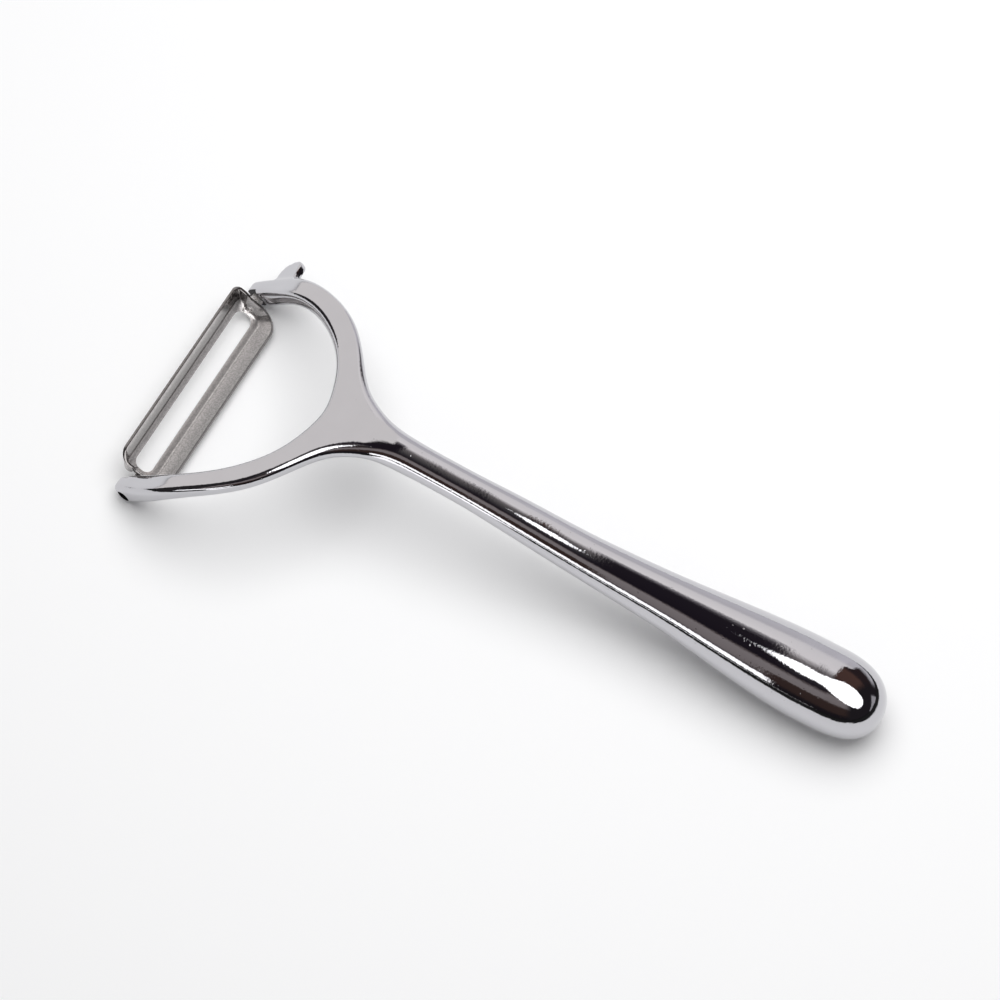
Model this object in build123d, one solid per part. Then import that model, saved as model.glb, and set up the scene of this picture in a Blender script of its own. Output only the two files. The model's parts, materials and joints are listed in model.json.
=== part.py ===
"""Swivel-blade vegetable peeler: a chromed casting with a forked head, and the steel blade in it."""
import math
import os

from build123d import *

# Fork of the casting, in millimetres; x runs from the blade's pivot towards the end of the handle
fork_depth = 36.0
gap_half_width = 27.6
arm_width = 5.5
nose_radius = 3.0
arch_height = 24.1
fork_thickness = 4.9
edge_rounding = 1.3

# Neck and handle of the casting
neck_radius = 4.15
handle_radius = 9.84
handle_start_x = 44.0
handle_swell_x = 163.0
handle_end_length = 18.3

# Eye remover, a fin on the outer side of the right arm
fin_reach = 5.3
fin_base_length = 7.4
fin_thickness = 2.0
fin_start = 6.1
fin_rise = 1.3
fin_root_depth = 2.2

# Pivot: seats in the arms, pockets for the turning blade, and the two pins
pin_seat_radius = 1.6
pin_journal_radius = 0.6
pin_recess = 1.2
pin_overhang = 0.4
pocket_depth = 0.8
pocket_radius = 3.2
blade_end_clearance = 0.6
running_clearance = 0.05

# Blade: one pressed tray with a long slot in its floor
sheet_thickness = 0.7
slot_width = 5.0
slot_end_width = 2.8
bevel_run = 1.6
wall_run = 4.65
pivot_over_slot = 0.7
edge_land = 0.1
grind_run = 0.8
end_wall_drop = 1.0
front_corner_radius = 3.4
rear_corner_radius = 5.4

# How blunt the handle's end is: 2 makes it an oval
end_bluntness = 3.4

# Angles in degrees
bevel_angle = 22.0
wall_angle = 55.5
blade_tilt = 31.8
arm_slope = 42.0

# Arch of the fork, seen from the side: place along its depth, height of its middle, half its thickness
arch_shares = (
    (0.000, 0.000, 0.612),
    (0.150, 0.234, 0.540),
    (0.345, 0.536, 0.500),
    (0.528, 0.728, 0.478),
    (0.756, 0.872, 0.480),
    (1.075, 0.990, 0.530),
    (1.389, 0.996, 0.590),
    (1.722, 0.930, 0.530),
)

# Plan of the fork's outer side and of its gap: place along the depth, distance from the middle
outer_shares = (
    (-0.200, 0.962),
    (0.000, 0.991),
    (0.250, 1.006),
    (0.517, 0.940),
    (0.869, 0.725),
    (1.064, 0.476),
    (1.225, 0.275),
    (1.389, 0.172),
    (1.556, 0.125),
    (1.722, 0.090),
)
gap_shares = (
    (-0.200, 1.058),
    (0.089, 1.008),
    (0.306, 0.985),
    (0.500, 0.906),
    (0.736, 0.707),
    (0.897, 0.464),
    (0.980, 0.217),
    (1.010, 0.000),
)

# Neck and handle: place along their length, height of the middle, and radii across and upright
neck_shares = (
    (0.000, 0.998, 1.200, 0.560),
    (0.050, 0.994, 1.110, 0.760),
    (0.100, 0.966, 1.030, 0.930),
    (0.150, 0.934, 1.005, 1.000),
    (0.195, 0.906, 0.997, 0.997),
)
grip_shares = (
    (0.269, 0.863, 0.427),
    (0.345, 0.809, 0.463),
    (0.445, 0.721, 0.508),
    (0.546, 0.652, 0.560),
    (0.647, 0.603, 0.631),
    (0.740, 0.561, 0.720),
    (0.832, 0.500, 0.849),
    (0.916, 0.451, 0.948),
    (1.000, 0.4083, 1.000),
)

# Outline of the eye remover: place along its base and out from its root
fin_shares = (
    (0.03, 0.00),
    (0.00, 0.27),
    (0.00, 0.52),
    (0.09, 0.77),
    (0.34, 0.95),
    (0.73, 1.00),
    (0.87, 0.88),
    (0.93, 0.63),
    (1.00, 0.30),
    (1.08, 0.00),
)

# Sizes that follow from the ones above
fork_half_width = gap_half_width + arm_width
pivot_z = nose_radius
pocket_face_y = gap_half_width + pocket_depth
blade_half_length = gap_half_width - blade_end_clearance
slot_length = 2 * (blade_half_length - slot_end_width)
arm_end_y = outer_shares[1][1] * fork_half_width
handle_length = handle_swell_x - handle_start_x
overrun = fork_thickness
end_points = 8


def bend_points():
    """Section of the blade's upper face, from the middle outwards, in its own plane."""
    bevel = math.radians(bevel_angle)
    wall = math.radians(wall_angle)
    edge = (slot_width / 2, 0)
    corner = (edge[0] + bevel_run * math.cos(bevel), bevel_run * math.sin(bevel))
    rim = (corner[0] + wall_run * math.cos(wall), corner[1] + wall_run * math.sin(wall))
    return edge, corner, rim


def arch_curve(side):
    """Points of the arch's middle line, or of its top (side 1) or underside (side -1)."""
    middle = [(x * fork_depth, pivot_z + z * (arch_height - pivot_z)) for x, z, t in arch_shares]
    points = []
    for i, (x, z) in enumerate(middle):
        x0, z0 = middle[max(i - 1, 0)]
        x1, z1 = middle[min(i + 1, len(middle) - 1)]
        run = math.hypot(x1 - x0, z1 - z0)
        half = arch_shares[i][2] * fork_thickness * side
        points.append((x - half * (z1 - z0) / run, z + half * (x1 - x0) / run))
    return points


def arch_face():
    """Side view of the fork, with its round nose at the pivot."""
    top = arch_curve(1)
    low = arch_curve(-1)
    start = (top[0][1] - pivot_z, -top[0][0])
    reach = nose_radius / math.hypot(*start)
    nose_tip = (-start[0] * reach, pivot_z - start[1] * reach)
    over = Spline(*top, tangents=(start, (1, 0)))
    under = Spline(*low, tangents=(start, (1, 0)))
    nose = ThreePointArc(low[0], nose_tip, top[0])
    return Plane.XZ * make_face(over + under + nose + Line(top[-1], low[-1]))


def fork_plan():
    """Plan of the fork: both arms, the gap between them and the root of the neck."""
    outer = [(x * fork_depth, y * fork_half_width) for x, y in outer_shares]
    gap = [(x * fork_depth, y * gap_half_width) for x, y in gap_shares]
    right = Spline(*outer)
    left = Spline(*[(x, -y) for x, y in outer])
    back = Line(outer[-1], (outer[-1][0], -outer[-1][1]))
    inside = Spline(*gap, *[(x, -y) for x, y in gap[-2::-1]])
    right_front = Line(outer[0], gap[0])
    left_front = Line((outer[0][0], -outer[0][1]), (gap[0][0], -gap[0][1]))
    return make_face(right + back + left + left_front + inside + right_front)


def fork():
    """The arched fork: its plan and its side view, crossed, with round edges."""
    tall = extrude(fork_plan(), arch_height + overrun)
    reach = fork_half_width + overrun
    band = extrude(Pos(0, reach, 0) * arch_face(), 2 * reach)
    plate = tall & band
    hidden_end = outer_shares[-1][0] * fork_depth - fork_thickness
    curved = plate.edges().filter_by(GeomType.LINE, reverse=True)
    return fillet(curved.filter_by(lambda edge: edge.bounding_box().min.X < hidden_end), edge_rounding)


def handle():
    """Neck and handle: round sections along a gently drooping line, closed by a blunt end."""
    rows = [(x, z, wide * neck_radius, tall * neck_radius) for x, z, wide, tall in neck_shares]
    rows += [(x, z, radius * handle_radius, radius * handle_radius) for x, z, radius in grip_shares]
    sections = []
    for x, z, wide, tall in rows:
        middle = (handle_start_x + x * handle_length, 0, z * arch_height)
        sections.append(Plane(middle, (0, 1, 0), (1, 0, 0)) * Ellipse(wide, tall))
    steps = [math.sin(math.pi / 2 * i / end_points) for i in range(end_points + 1)]
    rim = [(handle_end_length * t, handle_radius * math.sqrt(1 - t ** end_bluntness)) for t in steps]
    curve = Spline(*rim, tangents=((1, 0), (0, -1)))
    quarter = make_face(curve + Line((0, handle_radius), (0, 0)) + Line((0, 0), (handle_end_length, 0)))
    end = revolve(Plane.XZ * quarter, Axis.X)
    return loft(sections) + Pos(handle_swell_x, 0, grip_shares[-1][1] * arch_height) * end


def eye_remover():
    """A small curved fin that stands out from the right arm, in the slope of the arm."""
    root_y = fork_half_width - fin_root_depth
    reach = fin_reach + fin_root_depth
    rim = [(fin_start + along * fin_base_length, root_y + out * reach) for along, out in fin_shares]
    outline = Spline(*rim) + Line(rim[-1], rim[0])
    slope = math.radians(arm_slope)
    along, upright = (math.cos(slope), 0, math.sin(slope)), (-math.sin(slope), 0, math.cos(slope))
    middle = (fin_rise * upright[0], 0, pivot_z + fin_rise * upright[2])
    return extrude(Plane(middle, along, upright) * make_face(outline), fin_thickness / 2, both=True)


def casting():
    """The whole casting: fork, neck, handle and eye remover in one piece, bored for the pivot pins."""
    body = fork() + handle() + eye_remover()
    for side in (1, -1):
        seat = Cylinder(pin_seat_radius, fork_half_width, rotation=(90, 0, 0))
        body -= Pos(0, side * (pocket_face_y + fork_half_width / 2), pivot_z) * seat
        pocket = Cylinder(pocket_radius, 2 * pocket_depth, rotation=(90, 0, 0))
        body -= Pos(0, side * gap_half_width, pivot_z) * pocket
    return body


def pivot_pin(side):
    """A stepped pin: its thick end is pressed into the arm, its thin end carries the blade's ear."""
    seat_length = arm_end_y - pin_recess - pocket_face_y
    journal_length = pocket_face_y - blade_half_length + sheet_thickness + pin_overhang
    seat = Cylinder(pin_seat_radius, seat_length, rotation=(90, 0, 0))
    journal = Cylinder(pin_journal_radius, journal_length, rotation=(90, 0, 0))
    seat = Pos(0, side * (pocket_face_y + seat_length / 2), pivot_z) * seat
    return seat + Pos(0, side * (pocket_face_y - journal_length / 2), pivot_z) * journal


def under_points():
    """Section of the blade's lower face, from the middle outwards, one sheet below its upper face."""
    edge, corner, rim = bend_points()
    bevel, wall = math.radians(bevel_angle), math.radians(wall_angle)
    turn, middle = (wall - bevel) / 2, (wall + bevel) / 2
    foot_run, bend_run = sheet_thickness / math.cos(bevel / 2), sheet_thickness / math.cos(turn)
    foot = (edge[0] + foot_run * math.sin(bevel / 2), edge[1] - foot_run * math.cos(bevel / 2))
    bend = (corner[0] + bend_run * math.sin(middle), corner[1] - bend_run * math.cos(middle))
    outer_rim = (rim[0] + sheet_thickness * math.sin(wall), rim[1] - sheet_thickness * math.cos(wall))
    return foot, bend, outer_rim


def filled(points, half_length):
    """A bar with the given half section, closed straight across its top, centred on the pivot's line."""
    right = [(x, z - pivot_over_slot) for x, z in points]
    left = [(-x, z) for x, z in right]
    section = Polygon(*left[::-1], *right, align=None)
    return extrude(Pos(0, half_length, 0) * (Plane.XZ * section), 2 * half_length)


def blade_plan(inset):
    """Plan of the blade's walls: straight rails, with corners that are rounder at the rear."""
    half_width = under_points()[2][0] + sheet_thickness - inset
    outline = Rectangle(2 * half_width, 2 * (blade_half_length - inset))
    outline = fillet(outline.vertices().group_by(Axis.X)[0], front_corner_radius - inset)
    return fillet(outline.vertices().group_by(Axis.X)[-1], rear_corner_radius - inset)


def slot():
    """The slot through the blade's floor, ground wider underneath so that both its sides are sharp."""
    depth = bend_points()[2][1]
    through = extrude(SlotOverall(slot_length, slot_width, rotation=90), depth, both=True)
    half = slot_width / 2
    top, low = -pivot_over_slot - edge_land, -pivot_over_slot - 2 * sheet_thickness
    wide = half + 2 * grind_run
    ground = Polygon((-half, top), (-wide, low), (wide, low), (half, top), align=None)
    straight = slot_length - slot_width
    return through + extrude(Pos(0, straight / 2, 0) * (Plane.XZ * ground), straight)


def swivel_blade():
    """The blade: a long tray of sheet with a slot in its floor and a hole for a pin in each end wall."""
    rim = bend_points()[2]
    reach = 2 * rim[1]
    outer_rim = under_points()[2]
    outside = filled((*under_points(), rim), blade_half_length)
    outside &= extrude(blade_plan(0), reach, both=True)
    inside = filled((*bend_points(), (rim[0], reach)), blade_half_length)
    inside &= extrude(blade_plan(sheet_thickness), reach, both=True)
    ends_top = outer_rim[1] - pivot_over_slot - end_wall_drop + reach / 2
    over_ends = Pos(0, 0, ends_top) * Box(2 * bend_points()[1][0], 2 * blade_half_length, reach)
    blade = outside - inside - slot() - over_ends
    hole_radius = pin_journal_radius + running_clearance
    hole = Cylinder(hole_radius, 2 * blade_half_length + overrun, rotation=(90, 0, 0))
    return Pos(0, 0, pivot_z) * Rot(0, blade_tilt, 0) * (blade - hole)


def build():
    """All pieces, moved to stand on the origin with the middle of their common box, and that move."""
    pieces = {
        "fork_and_handle": casting(),
        "swivel_blade": swivel_blade(),
        "pivot_pin_left": pivot_pin(-1),
        "pivot_pin_right": pivot_pin(1),
    }
    boxes = [piece.bounding_box() for piece in pieces.values()]
    low = [min(getattr(box.min, k) for box in boxes) for k in "XYZ"]
    high = [max(getattr(box.max, k) for box in boxes) for k in "XYZ"]
    shift = Pos(-(low[0] + high[0]) / 2, -(low[1] + high[1]) / 2, -low[2])
    return {name: shift * piece for name, piece in pieces.items()}, shift


def main():
    os.makedirs("parts", exist_ok=True)
    pieces, shift = build()
    for name, piece in pieces.items():
        export_step(piece, f"parts/{name}.step")
    pivot = shift * Pos(0, 0, pivot_z)
    print("pivot at", [round(v, 4) for v in tuple(pivot.position)])


main()
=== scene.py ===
"""Looks of the vegetable peeler: chromed casting, slotted blade, pivot pins, and the studio that shows them."""
import json
import math

import bmesh
import bpy
import numpy as np
from bpy.props import FloatProperty, FloatVectorProperty, PointerProperty
from mathutils import Matrix, Vector


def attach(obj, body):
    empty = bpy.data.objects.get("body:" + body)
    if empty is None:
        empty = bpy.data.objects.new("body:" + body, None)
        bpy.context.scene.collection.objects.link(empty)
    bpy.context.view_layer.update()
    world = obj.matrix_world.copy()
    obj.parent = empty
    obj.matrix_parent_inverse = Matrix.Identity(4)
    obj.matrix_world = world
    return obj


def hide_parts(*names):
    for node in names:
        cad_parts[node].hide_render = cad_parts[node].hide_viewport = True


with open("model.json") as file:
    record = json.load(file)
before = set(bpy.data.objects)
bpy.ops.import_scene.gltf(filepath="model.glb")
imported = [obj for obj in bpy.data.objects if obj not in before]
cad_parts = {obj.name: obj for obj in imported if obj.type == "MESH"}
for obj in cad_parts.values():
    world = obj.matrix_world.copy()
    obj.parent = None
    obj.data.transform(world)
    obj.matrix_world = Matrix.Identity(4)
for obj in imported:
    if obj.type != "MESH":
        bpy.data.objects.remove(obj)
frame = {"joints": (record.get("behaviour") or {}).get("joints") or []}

bl_info = {
    "name": "Vegetable Peeler",
    "version": (1, 0, 0),
    "blender": (4, 5, 0),
    "location": "3D View > Sidebar > Peeler",
    "description": "Builds a Y-shaped peeler with a chromed casting and a swivelling slotted blade",
    "category": "Add Mesh",
}

MM = 0.001
PIVOT = Vector(frame["joints"][0]["pos_m"])
PIVOT_HEIGHT = 3.0
FOOT = np.array(PIVOT) / MM - (0, 0, PIVOT_HEIGHT)

# Places on the casting, in millimetres from the table right under the blade's pivot:
# x towards the handle's end, y to the right arm, z up. Each row is a point or a section.
ARM_OUTSIDE = ((-7.2, 31.7), (0.0, 32.7), (9.0, 33.2), (18.6, 31.0), (31.3, 23.8), (38.3, 15.6),
               (44.1, 9.1), (50.0, 6.1), (56.0, 4.75), (62.0, 4.25), (70.0, 4.15))
ARM_INSIDE = ((-7.2, 29.3), (3.2, 27.8), (11.0, 27.2), (18.0, 25.2), (26.5, 19.8), (32.3, 13.0),
              (35.3, 6.0), (36.4, 0.0))
ARCH_MIDDLE = ((0.0, 3.0), (5.4, 7.95), (12.4, 14.3), (19.0, 18.35), (27.2, 21.4), (38.7, 23.8),
               (50.0, 23.85), (62.0, 22.55), (74.0, 21.0))
ARCH_HALF_THICKNESS = (3.0, 2.65, 2.45, 2.35, 2.28, 2.32, 2.60, 3.75, 4.15)
UPPER_ROUNDING = ((-4.0, 1.25), (10.0, 1.35), (25.0, 1.5), (36.0, 1.8), (44.0, 2.2), (50.0, 2.8), (62.0, 4.0))
LOWER_ROUNDING = ((-4.0, 2.4), (10.0, 2.2), (25.0, 2.1), (36.0, 2.1), (44.0, 2.4), (50.0, 2.9), (62.0, 4.0))
GRIP_MIDDLE = ((40.0, 23.6), (50.0, 23.4), (56.0, 22.9), (62.0, 22.3), (70.0, 21.45), (80.0, 20.2),
               (90.0, 18.68), (100.0, 16.95), (110.0, 15.6), (120.0, 14.63), (130.0, 13.7), (140.0, 12.45),
               (150.0, 11.25), (158.0, 10.45), (164.0, 9.97), (170.0, 9.72), (176.0, 9.05), (182.0, 8.3))
GRIP_RADIUS = ((40.0, 5.3), (50.0, 4.85), (56.0, 4.45), (62.0, 4.17), (70.0, 4.12), (75.0, 4.17),
               (80.0, 4.35), (90.0, 4.75), (100.0, 5.1), (110.0, 5.54), (120.0, 6.14), (130.0, 6.92),
               (140.0, 8.02), (150.0, 9.08), (158.0, 9.68), (164.0, 9.84))
GRIP_END_LENGTH = 17.3
GRIP_END_BLUNTNESS = 3.4
BLEND_TO_GRIP = (45.0, 63.0)
BORE_RADIUS = 1.6
POCKET_RADIUS = 3.5
POCKET_FACE = 29.3
PIN_FACE = 28.4
PIN_ROUNDING = 0.18
BLADE_HOLE_RADIUS = 0.65
SHARP_ANGLE = math.radians(38)
BRIGHTEST_BAND = 2.4
LOWEST_LEAN = -0.3
FIN_SLOPE = math.radians(42.0)
FIN_RISE = 1.3
FIN_HALF_THICKNESS = 1.0
# What the chrome mirrors, by the angle round the handle's axis in degrees: 0 is straight up, 90 the camera's side
STUDIO_BANDS = (
    (-180, (0.72, 0.71, 0.75)), (-90, (0.74, 0.73, 0.77)), (-66, (0.70, 0.68, 0.71)), (-57, (0.97, 0.94, 0.94)),
    (-31, (1.08, 1.04, 1.03)), (-27, (0.42, 0.40, 0.41)), (-20, (0.10, 0.09, 0.10)), (-13, (0.020, 0.016, 0.022)),
    (34, (0.016, 0.012, 0.018)), (37, (0.10, 0.08, 0.08)), (42, (0.28, 0.25, 0.25)), (66, (0.25, 0.22, 0.22)),
    (73, (0.17, 0.15, 0.15)), (78, (0.03, 0.025, 0.025)), (180, (0.02, 0.02, 0.02)))
# The same for rays that lean towards the handle's end
RIGHT_BANDS = (
    (-180, (0.6, 0.59, 0.62)), (-84, (0.6, 0.59, 0.62)), (-74, (0.03, 0.02, 0.022)), (-52, (0.03, 0.02, 0.022)),
    (-44, (0.10, 0.055, 0.045)),
    (-14, (0.09, 0.05, 0.042)), (-6, (0.03, 0.02, 0.02)), (33, (0.05, 0.04, 0.04)), (38, (0.27, 0.24, 0.24)),
    (53, (0.24, 0.21, 0.21)), (58, (0.050, 0.032, 0.028)), (76, (0.045, 0.028, 0.025)), (82, (0.015, 0.012, 0.015)),
    (180, (0.015, 0.012, 0.015)))
# And for those that lean furthest towards it
END_BANDS = ((-180, (0.45, 0.44, 0.46)), (-64, (0.45, 0.44, 0.46)), (-56, (0.02, 0.017, 0.02)),
             (180, (0.02, 0.017, 0.02)))
# Where they give way to those on the right: angle and lean
RIGHT_EDGE = ((-180, 0.20), (-62, 0.20), (-52, 0.06), (-12, 0.04), (36, 0.04), (40, 0.06),
              (54, 0.04), (58, -0.14), (75, -0.17), (180, -0.17))
# And for rays that leave the handle square to it, as from the neck
SQUARE_BANDS = (
    (-180, (0.72, 0.71, 0.75)), (-90, (0.74, 0.73, 0.77)), (-66, (0.78, 0.76, 0.80)), (-57, (0.97, 0.94, 0.94)),
    (-24, (1.04, 1.0, 0.99)), (-15, (0.55, 0.52, 0.52)), (-8, (0.22, 0.20, 0.20)), (4, (0.13, 0.12, 0.12)),
    (22, (0.05, 0.045, 0.05)), (34, (0.018, 0.014, 0.02)), (37, (0.10, 0.08, 0.08)), (42, (0.28, 0.25, 0.25)),
    (66, (0.25, 0.22, 0.22)), (73, (0.17, 0.15, 0.15)), (78, (0.03, 0.025, 0.025)), (180, (0.02, 0.02, 0.02)))
FIN_OUTLINE = ((6.32, 30.9), (6.1, 32.9), (6.1, 34.8), (6.77, 36.7), (8.6, 38.0), (11.5, 38.37),
               (12.5, 37.5), (12.98, 35.6), (13.5, 33.1), (14.1, 30.9))


# ---------------------------------------------------------------- curves and fields

def smooth_curve(rows, first=None, last=None):
    """A cubic curve y(x) through the rows, with its slope fixed at either end where one is given."""
    x, y = np.array(rows, float).T
    n, h = len(x), np.diff(x)
    a, b = np.eye(n), np.zeros(n)
    for i in range(1, n - 1):
        a[i, i - 1:i + 2] = h[i - 1], 2 * (h[i - 1] + h[i]), h[i]
        b[i] = 6 * ((y[i + 1] - y[i]) / h[i] - (y[i] - y[i - 1]) / h[i - 1])
    if first is not None:
        a[0, :2], b[0] = (2 * h[0], h[0]), 6 * ((y[1] - y[0]) / h[0] - first)
    if last is not None:
        a[-1, -2:], b[-1] = (h[-1], 2 * h[-1]), 6 * (last - (y[-1] - y[-2]) / h[-1])
    m = np.linalg.solve(a, b)

    def curve(t):
        t = np.clip(t, x[0], x[-1])
        i = np.clip(np.searchsorted(x, t) - 1, 0, n - 2)
        u, v, w = x[i + 1] - t, t - x[i], h[i]
        return (m[i] * u ** 3 + m[i + 1] * v ** 3) / (6 * w) + (y[i] / w - m[i] * w / 6) * u + (
            y[i + 1] / w - m[i + 1] * w / 6) * v

    return curve


def smooth_line(points, count):
    """Evenly spaced points on a smooth line through the given points of a plane."""
    points = np.array(points, float)
    along = np.concatenate([[0], np.cumsum(np.hypot(*np.diff(points, axis=0).T))])
    across = [smooth_curve(np.column_stack([along, points[:, k]])) for k in (0, 1)]
    fine = np.linspace(0, along[-1], count)
    return np.column_stack([c(fine) for c in across])


def nearest_on(line, x, y):
    """Distance from each place to a fine line, and how far along it (in points) the nearest place is."""
    a, d = line[:-1], np.diff(line, axis=0)
    length = (d ** 2).sum(1)
    flat = np.column_stack([np.ravel(x), np.ravel(y)])
    best, where = np.empty(len(flat)), np.empty(len(flat))
    for k in range(0, len(flat), 2000):
        px, py = flat[k:k + 2000, :1] - a[:, 0], flat[k:k + 2000, 1:] - a[:, 1]
        t = np.clip((px * d[:, 0] + py * d[:, 1]) / length, 0, 1)
        gap = (px - t * d[:, 0]) ** 2 + (py - t * d[:, 1]) ** 2
        i = gap.argmin(1)
        rows = np.arange(len(i))
        best[k:k + 2000], where[k:k + 2000] = np.sqrt(gap[rows, i]), i + t[rows, i]
    return best.reshape(np.shape(x)), where.reshape(np.shape(x))


def inside(outline, x, y):
    """Which places lie inside a closed outline."""
    hit = np.zeros(np.shape(x), bool)
    for (x0, y0), (x1, y1) in zip(outline, np.roll(outline, -1, axis=0)):
        if y0 != y1:
            hit ^= ((y0 > y) != (y1 > y)) & (x < (x1 - x0) * (y - y0) / (y1 - y0) + x0)
    return hit


class Table:
    """A field over a plane, kept on a grid and read back smoothly between its points."""

    def __init__(self, low, high, step, make):
        self.low, self.step = np.array(low, float), step
        axes = [np.arange(a, b + step, step) for a, b in zip(low, high)]
        self.values = make(*np.meshgrid(*axes, indexing="ij"))

    def __call__(self, u, v):
        u, v = np.broadcast_arrays(u, v)
        total = 0
        parts = []
        for k, q in enumerate((u, v)):
            q = (q - self.low[k]) / self.step
            i = np.clip(np.floor(q).astype(int), 1, self.values.shape[k] - 3)
            t = np.clip(q - i, 0, 1)
            weights = ((-t + 2 * t ** 2 - t ** 3) / 2, (2 - 5 * t ** 2 + 3 * t ** 3) / 2,
                       (t + 4 * t ** 2 - 3 * t ** 3) / 2, (-t ** 2 + t ** 3) / 2)
            parts.append((i, weights))
        (i, wi), (j, wj) = parts
        for a in range(4):
            for b in range(4):
                total = total + wi[a] * wj[b] * self.values[i + a - 1, j + b - 1]
        return total


def rounded_both(a, b, radius):
    """Inside both fields at once, with the shared edge rounded."""
    u, v = a + radius, b + radius
    return np.hypot(np.maximum(u, 0), np.maximum(v, 0)) + np.minimum(np.maximum(u, v), 0) - radius


def blended(a, b, radius):
    """Inside either field, with a fillet where they meet."""
    h = np.maximum(radius - np.abs(a - b), 0) / radius
    return np.minimum(a, b) - h ** 3 * radius / 6


def eased(t):
    t = np.clip(t, 0, 1)
    return t * t * t * (t * (6 * t - 15) + 10)


def casting_field():
    """How far outside the casting's skin a place is, in millimetres."""
    outer = smooth_line(ARM_OUTSIDE, 700)
    inner = smooth_line(ARM_INSIDE + tuple((x, -y) for x, y in ARM_INSIDE[-2::-1]), 1001)[:501]
    closed = np.vstack([inner, [(outer[-1, 0], 0)], outer[::-1]])

    def plan(x, y):
        gap = np.minimum(nearest_on(outer, x, y)[0], nearest_on(inner, x, y)[0])
        return np.where(inside(closed, x, np.abs(y) + 1e-9), -gap, gap)

    middle = smooth_line(ARCH_MIDDLE, 600)
    marks = [np.hypot(*(middle - p).T).argmin() for p in ARCH_MIDDLE]
    half = smooth_curve(np.column_stack([marks, ARCH_HALF_THICKNESS]), first=0)

    def side(x, z):
        gap, where = nearest_on(middle, x, z)
        return gap - half(where)

    def above(x, z):
        gap, where = nearest_on(middle, x, z)
        return gap * np.sign(z - np.interp(x, *middle.T))

    plan_table = Table((-6, -2), (70, 40), 0.4, plan)
    side_table, above_table = (Table((-6, -3), (70, 34), 0.4, make) for make in (side, above))
    upper, lower = smooth_curve(UPPER_ROUNDING, 0, 0), smooth_curve(LOWER_ROUNDING, 0, 0)
    grip_z = smooth_curve(GRIP_MIDDLE)
    grip_r = smooth_curve(GRIP_RADIUS, last=0)
    fin = smooth_line(FIN_OUTLINE, 300)
    fin_table = Table((0, 28), (20, 42), 0.25,
                      lambda s, o: np.where(inside(fin, s, o), -1, 1) * nearest_on(fin, s, o)[0])
    swell, reach = GRIP_RADIUS[-1]

    def field(x, y, z):
        top = eased(0.5 + above_table(x, z) / 4)
        fork = rounded_both(plan_table(x, np.abs(y)), side_table(x, z), upper(x) * top + lower(x) * (1 - top))
        across = np.hypot(y, z - grip_z(x))
        past = np.maximum(x - swell, 0) / GRIP_END_LENGTH
        end = reach * (np.sqrt(past ** GRIP_END_BLUNTNESS + (across / reach) ** 2) - 1)
        grip = np.where(x < swell, across - grip_r(x), end)
        share = eased((x - BLEND_TO_GRIP[0]) / (BLEND_TO_GRIP[1] - BLEND_TO_GRIP[0]))
        body = fork * (1 - share) + grip * share
        s = x * math.cos(FIN_SLOPE) + (z - PIVOT_HEIGHT) * math.sin(FIN_SLOPE)
        n = -x * math.sin(FIN_SLOPE) + (z - PIVOT_HEIGHT) * math.cos(FIN_SLOPE) - FIN_RISE
        plate = rounded_both(fin_table(s, y), np.abs(n) - FIN_HALF_THICKNESS, 0.45)
        plate = np.where((x > -2) & (x < 20) & (y > 29), plate, 9.0)
        return blended(body, plate, 0.9)

    return field


def skin(field, low, high, step):
    """Quads of the surface where a field is zero, one vertex in each cell of a grid that it crosses."""
    axes = [np.arange(a, b + step, step) for a, b in zip(low, high)]
    x, y, z = axes[0][:, None, None], axes[1][None, :, None], axes[2][None, None, :]
    values = np.broadcast_to(field(x, y, z), [len(a) for a in axes])
    n = np.array(values.shape) - 1
    total, count = np.zeros((*n, 3), np.float32), np.zeros(tuple(n), np.int8)
    for axis in range(3):
        other = [k for k in range(3) if k != axis]
        for da in (0, 1):
            for db in (0, 1):
                place = [slice(0, n[k]) for k in range(3)]
                place[other[0]], place[other[1]] = slice(da, n[other[0]] + da), slice(db, n[other[1]] + db)
                near = values[tuple(place)]
                place[axis] = slice(1, n[axis] + 1)
                far = values[tuple(place)]
                cross = np.nonzero((near < 0) != (far < 0))
                spot = np.zeros((len(cross[0]), 3), np.float32)
                spot[:, axis] = near[cross] / (near[cross] - far[cross])
                spot[:, other[0]], spot[:, other[1]] = da, db
                total[cross] += spot
                count[cross] += 1
    used = np.nonzero(count)
    points = np.array(low) + step * (np.array(used).T + total[used] / count[used][:, None])
    number = np.full(tuple(n), -1)
    number[used] = np.arange(len(points))
    quads = []
    for axis in range(3):
        a, b = [k for k in range(3) if k != axis]
        near = np.take(values, range(n[axis]), axis) < 0
        far = np.take(values, range(1, n[axis] + 1), axis) < 0
        at = np.array(np.nonzero(near != far)).T
        at = at[(at[:, a] > 0) & (at[:, b] > 0) & (at[:, a] <= n[a] - 1) & (at[:, b] <= n[b] - 1)]
        out = near[tuple(at.T)]
        ring = []
        for da, db in ((0, 0), (1, 0), (1, 1), (0, 1)):
            cell = at.copy()
            cell[:, a] -= da
            cell[:, b] -= db
            ring.append(number[tuple(cell.T)])
        ring = np.column_stack(ring)
        flip = out if axis == 1 else ~out
        ring[flip] = ring[flip][:, ::-1]
        quads.append(ring)
    return points, np.vstack(quads)


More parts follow.
